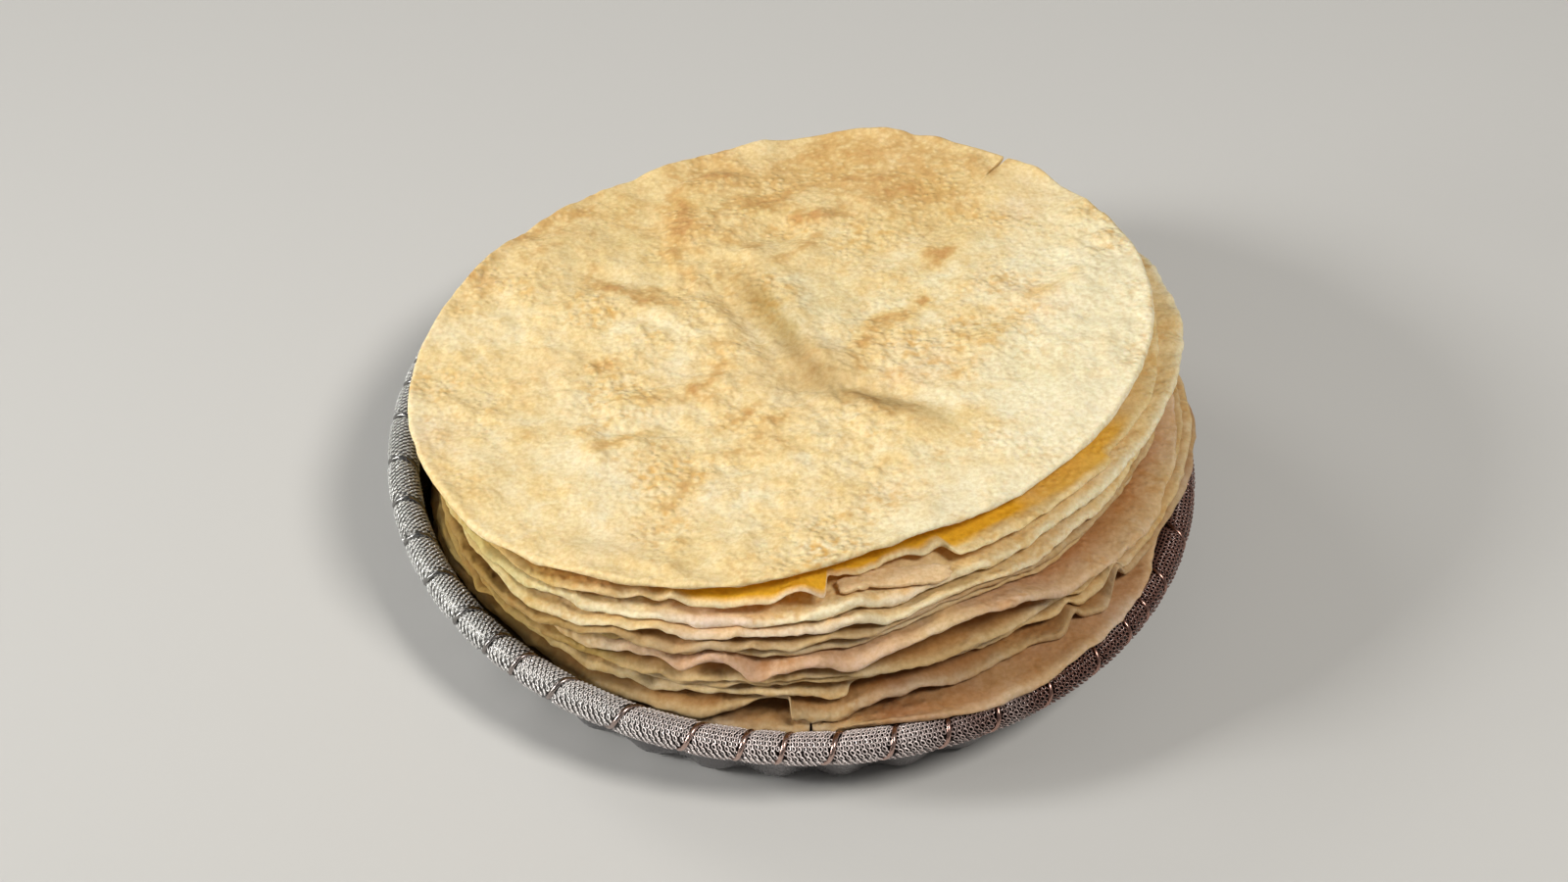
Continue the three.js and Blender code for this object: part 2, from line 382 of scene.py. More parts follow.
# from the lowest up, in mm and degrees: lobes widen the outline, and lifts and curls raise the edge, each
# by place, half width and amount; bites cut the outline and folds raise the edge between two angles, each
# by an amount and two eases; sharp places get more points; edge is the half thickness at the edge; tone is
# a colour number, and the other colour numbers paint shade in the pockets, shade over the whole sheet and a
# highlight on the edge, with changes to the left or right
papadums = [
    dict(at=(1, 0), radius=99.8, oval=0.0, height=22.6, slope=(0.085, 0.0),
         ripple=0.4, tone=0.3, edge=0.95, droop=1.0, shade=0.8, dimShade=0.7, dimRight=-0.35, toneRight=0.35,
         lobes=[(-42, 26, 8.5), (-68, 14, 4), (-160, 22, 1.2)], lifts=[(-48, 30, 2.4)],
         bites=[(-85.5, -85.2, 2.6, 0.04, 0.04)],
         sharp=[-85.35]),
    dict(at=(4, -1), radius=99.6, oval=0.015, height=27, slope=(0.075, -0.02),
         ripple=0.8, tone=0.1, edge=1.0, droop=1.5, shade=1.0, dimShade=0.6, toneRight=0.3,
         lobes=[(7, 27, 6.6), (-58, 20, -3), (-45.8, 2.2, 3.0), (-37.5, 2.8, 3.0), (-156, 22, 3.4)],
         lifts=[(-75, 12, 4), (-38, 12, 2)],
         curls=[(-103, 4, -1.3), (-97, 4, -1.2), (-83, 4, -4.2), (-79, 3, -2.4), (-62, 4, -3),
                (-57, 4, -2), (-48, 3.5, -5.5), (-45.2, 1.8, -2.5), (-42.6, 1.6, 3.6),
                (-36.8, 2.4, -7.0), (-33.2, 2.0, 5.5)],
         bites=[(-98, -88.5, 4.2, 2.0, 0.1)],
         folds=[(-95, -88.5, 2.6, 1.8, 0.1), (-88.5, -80, -1.6, 0.1, 2.0)],
         sharp=[-88.5, -41, -35]),
    dict(at=(5, 1), radius=98.8, oval=0.015, height=30.5, slope=(0.075, -0.035),
         ripple=0.8, tone=0.1, edge=0.95, droop=1.5, shade=0.85, dimShade=0.3,
         lobes=[(4, 24, 5), (-58, 20, -3), (-154, 22, 5.0), (-119, 9, 3.6)], lifts=[(-72, 12, 3)],
         curls=[(-109, 2.4, -4.5), (-105.5, 2, -1.5), (-82, 3, -2.6), (-58, 6, -3.5), (-66, 10, -3.2)],
         bites=[(-79.8, -50, 3.0, 0.15, 5.0)], sharp=[-79.8]),
    dict(at=(4, 1), radius=98.4, oval=0.02, height=32.8, slope=(0.075, -0.045),
         ripple=0.7, tone=0.05, edge=0.95, droop=1.2, shade=1.0, dimShade=0.35,
         lobes=[(0, 24, 3), (-58, 20, -3), (-152, 22, 3.6), (-141, 3, 2.4)],
         curls=[(-104, 5, -3.0), (-98, 4, -1.2), (-132, 5, -1.4), (-139.5, 2, 2.0), (-144, 2.5, -1.6)]),
    dict(at=(3, 0), radius=98.2, oval=0.03, height=35, slope=(0.077, -0.05),
         ripple=0.7, tone=0.05, edge=0.95, droop=1.2, shade=1.0, dimShade=0.35,
         lobes=[(-134, 10, 3.0)], curls=[(-95, 12, -2.6), (-118, 4, -3)]),
    dict(at=(3, -1), radius=98.8, oval=0.03, height=39, slope=(0.08, -0.06),
         ripple=0.8, tone=0.85, edge=1.1, droop=2.0, shade=0.3, dimShade=0.25, toneRight=-0.3, shadeRight=0.7,
         lobes=[(-28, 20, 5)], lifts=[(-64, 13, 5), (-102, 10, 2)],
         curls=[(-112, 2, 1.5), (-119, 5, -3.2), (-104.5, 2.4, -2.6), (-99, 2.6, 3.2),
                (-93.5, 2.6, -3.0), (-85.5, 3, 2.0), (-79, 3, -2.6), (-60, 7, 3), (-51, 4, 2.5)]),
    dict(at=(1, 1), radius=97, oval=0.05, height=41.5, slope=(0.083, -0.065),
         ripple=0.7, tone=0.05, edge=0.95, droop=1.2, shade=0.9, dimShade=0.4,
         curls=[(-70, 6, -2.5), (-105, 4, -1.0), (-93, 6, 1.4), (-75, 4, -1.5), (-62, 7, -5)]),
    dict(at=(1, 0), radius=97.4, oval=0.06, height=44, slope=(0.085, -0.07),
         ripple=0.7, tone=0.25, edge=0.95, droop=1.3, shade=0.95, dimShade=0.55,
         lobes=[(-128, 15, 4.5)],
         curls=[(-114, 3, 1.5), (-107, 3, -2.2), (-101, 1.6, 1.2), (-94, 2.4, 1.8), (-83, 4, 3.2),
                (-76, 7, 2.8)]),
    dict(at=(0, 1), radius=97.5, oval=0.04, height=47, slope=(0.09, -0.075),
         ripple=0.6, tone=0.35, edge=1.05, droop=1.7, shade=0.4, dimShade=0.05, litEdge=0.5, toneRight=-0.45,
         lobes=[(-125, 16, 5.5)],
         curls=[(-108.5, 4, 3.2), (-97, 9, 1.4), (-90, 4, 0.8), (-79, 4.5, 5.2), (-55, 3, 1.8)]),
    dict(at=(2, 5), radius=99.2, oval=0.07, height=50.5, slope=(0.095, -0.085),
         ripple=0.7, tone=0.35, edge=1.15, droop=1.9, shade=0.1, litEdge=0.7, toneRight=-0.45,
         lobes=[(12, 14, 1.6), (-127, 15, 3.8)],
         curls=[(-80.6, 3.2, 5.2), (-67, 7, -2.2), (-72, 4, -1.2), (-47, 3, 1.6), (-97, 1.1, 0.8),
                (-92.5, 1.2, 0.9)]),
    dict(at=(-1, 5), radius=97.5, oval=0.05, height=54.5, slope=(0.1, -0.095),
         ripple=0.8, tone=0.3, edge=0.8, droop=1.0, shade=0.3, shadeLeft=0.7, toneRight=-0.45,
         lifts=[(-87, 10, 2.5)],
         bites=[(-83.6, -61.5, 6.4, 0.15, 0.25), (-25.4, -22, 1.6, 0.1, 2.0)],
         lobes=[(-67, 8, -1), (-127, 14, 4.2)],
         curls=[(-109, 1.6, -3.2), (-107.4, 1.0, 0.8), (-103.5, 2.0, -2.6), (-97.5, 5.0, -5.0),
                (-92, 2.5, -1.8), (-88.0, 2.4, 2.6), (-84.6, 1.6, -2.2)],
         sharp=[-83.6, -61.5, -25]),
    dict(at=(-5, 7), radius=98.3, oval=0.07, height=58.5, slope=(0.105, -0.1),
         ripple=0.5, tone=0.0, edge=1.1, shade=0.5,
         lobes=[(-72, 17, -3.6), (82, 9, 1.5)], lifts=[(-93, 18, 3.4)],
         curls=[(98, 4, 0.9), (84, 5, 1.1), (70, 3, 0.9), (-85, 5, 1.2)],
         bites=[(57.35, 57.85, 11.0, 0.05, 0.05)], sharp=[57.6]),
]
topSheet = {
    # broad swells and valleys: right, back, half length, half width, turned by, lift in mm
    "swells": [(-13, 15, 22, 5.5, 115, -2.3), (-3, 20, 22, 7, 115, 2.4), (0, -11, 9, 5, 122, -2.2),
               (9, -6, 9, 6, 122, 1.8), (22, -17, 14, 5.5, 158, -1.9), (25, -28, 15, 7, 158, 1.8),
               (-50, 36, 13, 5, 160, -1.2), (-49, 25, 13, 6, 162, 1.2), (-42, 60, 18, 5, 97, -0.9),
               (-31, 60, 16, 6, 97, 0.9), (-8, 56, 9, 6, 0, -1.2), (-14, 44, 8, 5, 144, 1.1),
               (0, 45, 8, 5, 48, 1.1), (-8, 68, 14, 5, 0, 0.6), (-25, 83, 7, 5, 30, 1.2),
               (-33, 90, 7, 4, 30, -0.8), (-72, 63, 9, 4, 25, -0.9), (-70, 54, 9, 5, 25, 0.9),
               (-72, 44, 8, 5, 60, 0.8), (74, 27, 13, 5, 49, 1.1), (66, 34, 13, 5, 49, -0.9),
               (49, 14, 12, 4.5, 25, -0.9), (53, 5, 10, 5, 25, 1.1), (-21, -12, 7, 5, 50, 1.1),
               (-26, -5, 7, 4, 50, -0.8), (-46, -12, 10, 3.5, 0, -0.8), (-45, -20, 10, 5, 0, 0.9),
               (-41, -38, 5, 3.5, 20, 1.1), (-50, -42, 5, 3.5, 20, 1.0), (-53, -36, 4, 3, 0, 0.7),
               (-46, -32, 8, 3, 20, -0.9), (-78, -60, 7, 5, -40, 0.8), (-58, -75, 8, 5, -35, 0.7),
               (-35, -83, 9, 5, -15, 0.9), (-47, -72, 14, 6, -30, -0.6), (46, 49, 12, 6, 30, 1.0),
               (38, 60, 12, 6, 30, -0.9)],
    # toasted patches, those along the fold and on dents partly painted shade: right, back, half length,
    # half width, turned by, strength
    "patches": [(-36, 70, 9, 2.5, 100, 0.8), (-33, 60, 5, 3, 90, 0.5), (-37, 48, 7, 2.5, 80, 0.5),
                (-33, 37, 5, 3, 90, 0.5), (-27, 86, 6, 5, 0, 0.45), (-63, 69, 2.5, 2, 0, 0.6),
                (-77, 57, 5, 2.5, 20, 0.4), (-72, 47, 7, 4, 50, 0.35), (-49, 28, 11, 4, 165, 0.8),
                (-56, 33, 5, 3, 150, 0.6), (-42, 26, 5, 3, 10, 0.6), (-15, 47, 5, 3, 140, 0.5),
                (-6, 43, 4, 3, 0, 0.6), (0, 48, 5, 3, 50, 0.6), (2, 62, 6, 3, 10, 0.8),
                (-12, 70, 9, 4, 0, 0.5), (-11, 23, 12, 4, 117, 0.25), (0, 0, 9, 5, 115, 0.25),
                (6, -9, 7, 6, 125, 0.25), (19, -20, 11, 5, 160, 0.5), (30, -26, 7, 5, 150, 0.6),
                (38, 44, 8, 2.8, 58, 1.15), (32, 23, 3.5, 2.5, 30, 1.0), (26, 14, 8, 3.5, 40, 1.0),
                (18, 5, 4, 3, 40, 0.6), (17, -6, 4, 3, 90, 0.8), (70, 26, 7, 3, 40, 0.55),
                (66, 22, 4, 2, 20, 0.5), (55, 11, 6, 2.5, 30, 0.5), (47, 5, 6, 2.5, 10, 0.5),
                (43, -9, 4, 1.8, 10, 0.5), (51, -17, 3, 2, 0, 0.5), (-22, -8, 5, 3, 60, 1.0),
                (-28, -15, 6, 3, 20, 0.8), (-40, -17, 9, 2.5, 5, 0.6), (-53, -4, 7, 4, 0, 0.6),
                (-22, 6, 5, 4, 0, 0.5), (-42, -34, 5, 2.5, 20, 1.0), (-49, -38, 5, 2.5, 10, 0.9),
                (-54, -33, 3, 2, 0, 0.7), (-27, -55, 6, 2.5, 70, 0.8), (-12, -24, 5, 2.5, 60, 0.8),
                (-4, -30, 5, 2.5, 60, 0.75), (-11, -40, 6, 3, 80, 0.5), (-33, -63, 7, 4, 20, 0.4),
                (55, -30, 12, 5, 0, 0.45), (40, -33, 8, 6, 0, 0.45), (50, -48, 10, 4, 10, 0.4),
                (10, -55, 8, 5, 0, 0.35), (24, -45, 4, 3, 60, 0.45), (-82, -56, 4, 3, 0, 0.35),
                (-38, -82, 6, 3, 0, 0.35), (10, 95, 14, 6, 0, 0.4), (30, 75, 25, 10, 0, 0.3),
                (-60, 5, 14, 8, 0, 0.3)],
    # painted shade along the fold, greenish and darker
    "olive": [(-12, 25, 15, 4.5, 118, -0.45), (-2, 4, 12, 4.5, 114, -0.5), (6, -10, 8, 5.5, 130, -0.4),
              (21, -21, 13, 5, 160, -0.4)],
    # smoother places
    "smooth": [(-16, 20, 26, 10, 118, -0.5), (20, -14, 16, 8, 150, -0.4), (10, 24, 20, 9, 115, -0.6),
               (82, 5, 40, 12, 80, -0.5), (60, 75, 30, 12, 130, -0.4), (-60, -72, 30, 10, 145, -0.4)],
    # soft unevenness: mm from one to the next, mm high, seed, octaves
    "soft": [(34.0, 0.8, 7, 3), (13.0, 0.45, 9, 2)],
    "rings": 126, "lowerRings": 44,
}
topIndex = len(papadums) - 1
# painted warm light in the gap under the top sheet, in degrees and mm; at the flap it starts further in
gapGlow = {
    "index": topIndex - 1,
    "start": 0.5, "reach": 1.8, "ease": 8.0,
    "flap": (-52, 12, 3.0),
    "front": (-75, 33),
    "right": (-29, 13), "rightShare": 0.7,
}


# sum of long bells on the plane: amount * exp(-(along / half length)^2 - (across / half width)^2)
def spotSum(rows, x, y):
    total = np.zeros_like(x)
    for right, back, length, width, turn, amount in rows:
        c, s = math.cos(math.radians(turn)), math.sin(math.radians(turn))
        along = (x - right)*c + (y - back)*s
        across = (y - back)*c - (x - right)*s
        total += amount*np.exp(-(along/length)**2 - (across/width)**2)
    return total


def phase(index, wave):  # a fixed share of a turn for each sheet and wave
    value = math.sin((index + 1)*12.9898 + wave*78.233)*43758.5453
    return 2*math.pi*(value - math.floor(value))


# distance of the whole edge from the tray's centre: oval + its shift + lobes
def wholeRadius(index, degrees):
    sheet = papadums[index]
    angle = np.radians(degrees)
    radius = sheet["radius"]*(1 + sheet["oval"]*np.cos(2*(angle - math.pi/4)))
    radius = radius + sheet["at"][0]*np.cos(angle) + sheet["at"][1]*np.sin(angle)
    return radius + bellSum(sheet.get("lobes", ()), degrees)


# distance of the broken edge: the whole edge - bites + crumbs
def outlineRadius(index, degrees):
    sheet = papadums[index]
    radius = wholeRadius(index, degrees)
    bites = stepSum(sheet.get("bites", ()), degrees)
    radius -= bites*(1 + 0.2*edgeNoise(degrees, 120, 400 + index))   # ragged
    share = stack["topCrumbs"] if index == topIndex else 1.0
    for steps, size in stack["crumbs"]:
        radius += share*size*edgeNoise(degrees, steps, 50*index + steps)
    return radius


# a sheet's own height: sloped plane + ripples and lifts * share^4 + curls and folds * share^10 + soft
# noise, where share is the distance from the centre in units of 100 mm; the top sheet adds its swells, and
# the others add lumps * exp(-depth / reach) + droop * (1 - exp(-depth / reach)) - the middle's sag, where
# depth is the distance from the whole edge
def ownHeight(index, x, y):
    sheet = papadums[index]
    degrees = np.degrees(np.arctan2(y, x))
    share = np.hypot(x, y)/100.0
    slow = bellSum(sheet.get("lifts", ()), degrees)
    for wave in stack["waves"]:
        slow += sheet["ripple"]*np.cos(wave*np.radians(degrees) + phase(index, wave))
    quick = bellSum(sheet.get("curls", ()), degrees) + stepSum(sheet.get("folds", ()), degrees)
    for wave in stack["fineWaves"]:
        quick += stack["fineRipple"]*np.cos(wave*np.radians(degrees) + phase(index, wave))
    (slopeX, slopeY), (atX, atY) = sheet["slope"], sheet["at"]
    height = sheet["height"] + slopeX*(x - atX) + slopeY*(y - atY) + slow*share**4 + quick*share**10
    if index == topIndex:
        height = height + spotSum(topSheet["swells"], x, y)
        for cell, high, seed, octaves in topSheet["soft"]:
            height = height + high*mixedNoise(x, y, cell, seed, octaves)
        return height
    cell, high = stack["soft"]
    height = height + high*mixedNoise(x, y, cell, 100 + index)*share**2
    depth = np.maximum(wholeRadius(index, degrees) - np.hypot(x, y), 0.0)
    height = height + edgeSum(stack["lumps"], degrees, 700 + index, 40)*np.exp(-depth/stack["lumpReach"])
    height = height + sheet["droop"]*(1 - np.exp(-depth/stack["droopReach"]))
    return height - stack["sag"]*index/10*np.clip(1 - share**3, 0.0, 1.0)


rim = {
    "radius": 106.8, "height": 25.0,
    "turns": 48,             # turns of the binding wire
    "rope": 4.05,            # radius of the knitted sleeve between two turns
    "pinch": 0.85,           # how much a turn draws it in
    "pinchReach": 1.5,       # along the rim
    "coil": 3.72,            # radius of the wire's own turns
    "wireWide": 0.66, "wireThick": 0.55,
    "lean": 0.6,             # how much a turn slants over the rope
    "wander": [(0.0045, 14, 1.0), (0.003, 22, 2.6)],   # uneven turns: share of the rim, half waves, start
    "coreDrop": 0.5,         # how far the core lies under the loops
}


# middle height of a sheet in the stack: the larger of its own height and one spacing above the sheet below,
# eased by (a + b + hypot(a - b, softness)) / 2; over the rim it stays on the rope's circle
def sheetHeight(index, x, y):
    height = ownHeight(0, x, y)
    for upper in range(1, index + 1):
        own = ownHeight(upper, x, y)
        rest = height + stack["spacing"]
        height = (own + rest + np.hypot(own - rest, stack["softness"]))/2
    reach = np.abs(np.hypot(x, y) - rim["radius"])
    rope = rim["height"] + np.sqrt(np.maximum(stack["ropeReach"]**2 - reach**2, 0.0)) + stack["halfThick"]
    return np.where(reach < stack["ropeReach"], np.maximum(height, rope), height)


# angles round a sheet, closer together near its cracks and broken corners: even steps of the running sum of
# 1 + bells at those places
def sheetAngles(sheet, count):
    fine = np.linspace(0.0, 360.0, 7201)
    crowd = 1 + bellSum([(place, 1.3, 9.0) for place in sheet.get("sharp", ())], fine)
    total = np.concatenate([[0.0], np.cumsum((crowd[1:] + crowd[:-1])/2)])
    return np.interp(np.arange(count)/count*total[-1], total, fine)


# closed skin over a row of rings: quads between the rings and a fan to a pole at each end; upward rings
# start from the lower pole, as on the bowl, and have their faces turned round
def ringSkin(x, y, z, poles, upward=False):
    rows, columns = x.shape
    points = np.concatenate([np.stack([x, y, z], -1).reshape(-1, 3), poles])
    ring = np.arange(columns)
    after = (ring + 1) % columns
    last = (rows - 1)*columns
    first = np.stack([ring, after, np.full(columns, rows*columns)], -1)
    final = np.stack([last + after, last + ring, np.full(columns, rows*columns + 1)], -1)
    faces = [gridFaces(rows, columns)[:, ::-1], first, final]
    if upward:
        faces = [f[:, ::-1] for f in faces]
    return points, faces


# rings of a sheet: share * inner radius on both faces, and inner radius + round * cos of the turn on the
# edge between them; side goes from 1 on the upper face to -1 on the lower one
def sheetRings(index):
    degrees = sheetAngles(papadums[index], stack["sectors"])
    edge = outlineRadius(index, degrees)
    inner = edge - stack["edgeRound"]
    if index == topIndex:
        upper = np.linspace(0, 1, topSheet["rings"] + 1)[1:]
        lower = np.linspace(0, 1, topSheet["lowerRings"] + 1)[1:]
    else:
        upper = np.array(stack["rings"])
        lower = np.array(stack["lowerRings"])
    turn = np.radians(stack["edgeTurns"])[:, None]
    bend = inner + stack["edgeRound"]*np.cos(turn)
    radius = np.concatenate([upper[:, None]*inner, bend, lower[::-1, None]*inner])
    side = np.concatenate([np.ones((len(upper), 1)), np.sin(turn), -np.ones((len(lower), 1))]) + 0*radius
    angle = np.radians(degrees)
    return degrees, radius*np.cos(angle), radius*np.sin(angle), edge - radius, side


# relief of a face: (blisters + soft noise) * slow roughness, less near the edge and none in hidden middles
def sheetRelief(index, x, y, depth, side, coarse):
    fineCell, fineHigh = stack["fineBlister"]
    softCell, softHigh = stack["softRelief"]
    relief = coarse*stack["coarseBlister"][1] + blisters(x, y, fineCell, 60 + index)*fineHigh
    relief = relief + softHigh*mixedNoise(x, y, softCell, 80 + index) - stack["reliefDrop"]
    rough = 0.75 + 0.5*mixedNoise(x, y, 40.0, 300 + index, 2)
    if index == topIndex:
        rough = rough - 0.35*ramp(x - y, 60, 120)   # smoother front right
        relief = relief*np.clip(depth/5.0, 0.35, 1.0)
    else:
        relief = relief*np.clip(depth/5.0, 0.75, 1.0)*0.9*ramp(28 - depth, 0, 12)
    return relief*np.clip(rough, 0.25, 1.4)*np.abs(side)*np.where(side > 0, 1.0, 0.3)


bake = {
    # soft noise: mm from one to the next, strength
    "toast": (30.0, 0.2), "spots": (12.0, 0.2), "tone": (26.0, 0.25),
    "blister": 0.25,                              # browner blisters
    # painted highlight on the sheets' edges
    "litEdge": 0.22, "litEdgeReach": 1.8,               # paler edges
    # painted shade between the sheets, from and to in mm
    "pocketShade": (0.7, 3.9), "pocketShadeShares": (0.25, 0.55),   # brown between sheets, from and to in mm
    # ramps in mm, and how much they add
    # the far left ramps paint shade on the left flank: more pocket shade, more dimming and an olive tint
    "farLeft": (30, 80), "shadeLow": 0.2, "dimLow": 0.4, "dimHigh": 0.3,
    "oliveLeft": (25, 80), "olive": 1.2,
    "shadeLeft": (10, 40), "shadeRight": (40, 70), "shadeIn": (4, 9),
    "toneRight": (10, 50), "dimRight": (20, 70),
    "crisp": 0.75,
}


# colour numbers of a sheet's points, some of them painted shade and light: soft noise + ramps to the left,
# right and inwards + bells of its spots
def sheetNumbers(index, x, y, depth, side, coarse):
    sheet = papadums[index]
    isLow = index < stack["lowSheets"]
    farLeft = ramp(-x, *bake["farLeft"])
    cell, strength = bake["toast"]
    toast = strength*mixedNoise(x, y, cell, 500 + index) + bake["blister"]*coarse
    cell, strength = bake["tone"]
    tone = sheet["tone"] + strength*mixedNoise(x, y, cell, 580 + index)
    # painted shade in the pockets, more to the far left, at the left, and inwards at the right
    shade = sheet["shade"] + bake["shadeLow"]*isLow*farLeft
    shade = shade + sheet.get("shadeLeft", 0.0)*ramp(-x, *bake["shadeLeft"])
    shade = shade + sheet.get("shadeRight", 0.0)*ramp(x, *bake["shadeRight"])*ramp(depth, *bake["shadeIn"])
    inward = ramp(depth, *bake["pocketShade"])
    least, more = bake["pocketShadeShares"]
    recessShade = np.minimum(shade, 1.0)*(least + more*inward*inward*(3 - 2*inward))
    glow = 0*recessShade
    crisp = 0*recessShade + bake["crisp"]
    if index == topIndex:
        shiftX = 2.2*mixedNoise(x, y, 9.0, 610)                   # uneven outlines of the patches
        shiftY = 2.2*mixedNoise(x, y, 9.0, 620)
        # painted shade along the fold: a greenish tint and, on the upper face, darkening
        foldShade = spotSum(topSheet["olive"], x, y)
        toast = toast + spotSum(topSheet["patches"], x + shiftX, y + shiftY) + 0.45*ramp(y, 25, 85) - 0.15
        toast = toast - 0.6*ramp(x - 0.3*y, 15, 75)               # paler right
        toast = toast + 0.25*ramp(-x, 15, 65)*ramp(y, 5, 45)      # browner back left
        tone = tone + foldShade
        # painted shade under the top sheet only
        recessShade = recessShade*(side < 0)                                    # only underneath
        crisp = 0.85 + 0.4*mixedNoise(x, y, 26.0, 640, 2) + spotSum(topSheet["smooth"], x, y)
        crisp = np.clip(crisp, 0.25, 1.3)
        dimShade = np.clip(-1.4*foldShade, 0.0, 0.7)*(side > 0)
    else:
        cell, strength = bake["spots"]
        toast = toast + strength*np.maximum(mixedNoise(x, y, cell, 540 + index), 0)
        # painted highlight: paler edges
        toast = toast - sheet.get("litEdge", bake["litEdge"])*np.exp(-(depth/bake["litEdgeReach"])**2)
        # painted shade on the left flank: an olive tint here
        tone = tone - bake["olive"]*ramp(-x, *bake["oliveLeft"])
        tone = tone + sheet.get("toneRight", 0.0)*ramp(x, *bake["toneRight"])
        # painted shade: each sheet dimmed by its own amount, changed to the right
        dimShade = sheet.get("dimShade", 0.0) + sheet.get("dimRight", 0.0)*ramp(x, *bake["dimRight"])
        # painted shade: more dimming on the far left
        dimShade = dimShade + bake["dimLow" if isLow else "dimHigh"]*farLeft
    if index == gapGlow["index"]:
        glow = glowShare(x, y, depth)
    return {"toast": toast, "tone": tone, "recessShade": recessShade, "glow": glow, "crisp": crisp, "dimShade": dimShade}


# painted warm light: a ramp inwards from the edge, later at the flap, * the larger of a front and a right
# stretch
def glowShare(x, y, depth):
    around = np.degrees(np.arctan2(y, x))
    start = gapGlow["start"] + bellSum([gapGlow["flap"]], around)
    stretches = []
    for place, half in (gapGlow["front"], gapGlow["right"]):
        stretches.append((half - np.abs(around - place))/gapGlow["ease"] + 0.5)
    front = np.clip(stretches[0], 0.0, 1.0)
    right = np.clip(stretches[1], 0.1, 1.0)*gapGlow["rightShare"]
    return ramp(depth, start, start + gapGlow["reach"])*np.maximum(front, right)


# sheet: height = middle + half thickness * side + relief, where the half thickness grows to a knobbly edge
# by exp(-(distance from the edge / reach)^2)
def papadumPiece(index):
    degrees, x, y, depth, side = sheetRings(index)
    knobs = edgeSum(stack["knobs"], degrees, 900 + index, 30)
    more = papadums[index]["edge"]*(1 + knobs) - stack["halfThick"]
    half = stack["halfThick"] + more*np.exp(-(depth/stack["knobReach"])**2)
    coarse = blisters(x, y, stack["coarseBlister"][0], 20 + index)
    z = sheetHeight(index, x, y) + half*side + sheetRelief(index, x, y, depth, side, coarse)
    middle = float(sheetHeight(index, np.zeros(1), np.zeros(1))[0])
    poles = np.array([[0.0, 0.0, middle + stack["halfThick"]], [0.0, 0.0, middle - stack["halfThick"]]])
    points, faces = ringSkin(x, y, z, poles)
    numbers = sheetNumbers(index, x, y, depth, side, coarse)
    # each pole takes the first number of its ring
    numbers = {key: np.append(value.ravel(), [value[0, 0], value[-1, 0]]) for key, value in numbers.items()}
    name = "papadum_%02d" % (index + 1)
    addPiece(name + "_baked", points, faces, "papadum", [name], numbers)


for number in range(len(papadums)):
    papadumPiece(number)

# two flakes that broke off the eleventh sheet and lie on the tenth
flakes = [
    dict(at=(16.3, -84.6), half=(3.5, 2.6), turn=20, lean=(0.05, -0.06), seed=3),
    dict(at=(29.0, -81.0), half=(10.4, 2.9), turn=8, lean=(-0.03, -0.1), seed=4),
]
flakeShape = {
    "sheet": 9, "above": 2.1, "halfThick": 0.62, "sides": 120,
    "crumbs": (26, 0.06),    # steps round the edge, share
    "soft": (6.0, 0.15),     # mm from one to the next, mm high
    # rings over the top, round the side and under: share of the half size, share of the half thickness
    "rings": [(0.25, 1), (0.5, 1), (0.75, 1), (0.9, 1), (1.0, 1), (1.06, 0.75), (1.09, 0.3),
              (1.09, -0.3), (1.06, -0.75), (1.0, -1), (0.9, -1), (0.6, -1), (0.3, -1)],
}


# flake: a rounded box in plan, |u|^5 + |v|^5 = 1, with crumbly sides, laid on the sheet below
def flakePiece(number, flake):
    angle = np.arange(flakeShape["sides"])*2*math.pi/flakeShape["sides"]
    reach = (np.abs(np.cos(angle))**5 + np.abs(np.sin(angle))**5)**-0.2
    reach = reach*(1 + edgeSum([flakeShape["crumbs"]], np.degrees(angle), flake["seed"], 0))
    share, side = np.array(flakeShape["rings"]).T[:, :, None]
    u = share*flake["half"][0]*reach*np.cos(angle)
    v = share*flake["half"][1]*reach*np.sin(angle)
    c, s = math.cos(math.radians(flake["turn"])), math.sin(math.radians(flake["turn"]))
    x = flake["at"][0] + u*c - v*s
    y = flake["at"][1] + u*s + v*c
    cell, high = flakeShape["soft"]
    lift = flake["lean"][0]*u + flake["lean"][1]*v + high*mixedNoise(x, y, cell, flake["seed"])
    z = sheetHeight(flakeShape["sheet"], x, y) + flakeShape["above"] + lift + flakeShape["halfThick"]*side
    poles = np.array([[*flake["at"], z[0].mean()], [*flake["at"], z[-1].mean()]])
    points, faces = ringSkin(x, y, z, poles)
    flat = np.zeros(len(points))
    numbers = {"toast": flat, "tone": flat + 0.5, "recessShade": flat, "glow": flat, "crisp": flat + 0.5,
               "dimShade": flat}
    addPiece("papadum_flake_%d" % number, points, faces, "papadum", (), numbers)


for number, flake in enumerate(flakes):
    flakePiece(number + 1, flake)
print("papadums made:", len(papadums), "and", len(flakes), "flakes")


# where the binding wire stands round the rim: (turn + share of the way round the rope, bent by a sine) /
# turns + a slow uneven wander of two sines
def coilAngle(turn, around):
    along = (turn + (around - rim["lean"]*np.sin(around - math.pi/4))/(2*math.pi))/rim["turns"]
    wander = sum(share*np.sin(waves*math.pi*along + start) for share, waves, start in rim["wander"])
    return 2*math.pi*(along + wander)


# point of the rope: rim circle + radius * (cos, sin) of the angle round the rope
def rimPoint(angle, around, radius):
    out = rim["radius"] + radius*np.cos(around)
    return np.stack([out*np.cos(angle), out*np.sin(angle), rim["height"] + radius*np.sin(around)], -1)


# distance along the rim from the nearest turn of wire
def wireGap(angle, around):
    turns = coilAngle(np.arange(rim["turns"]), np.mod(around, 2*math.pi)[..., None])
    gap = np.mod(angle[..., None] - turns + math.pi, 2*math.pi) - math.pi
    return np.abs(gap).min(-1)*rim["radius"]


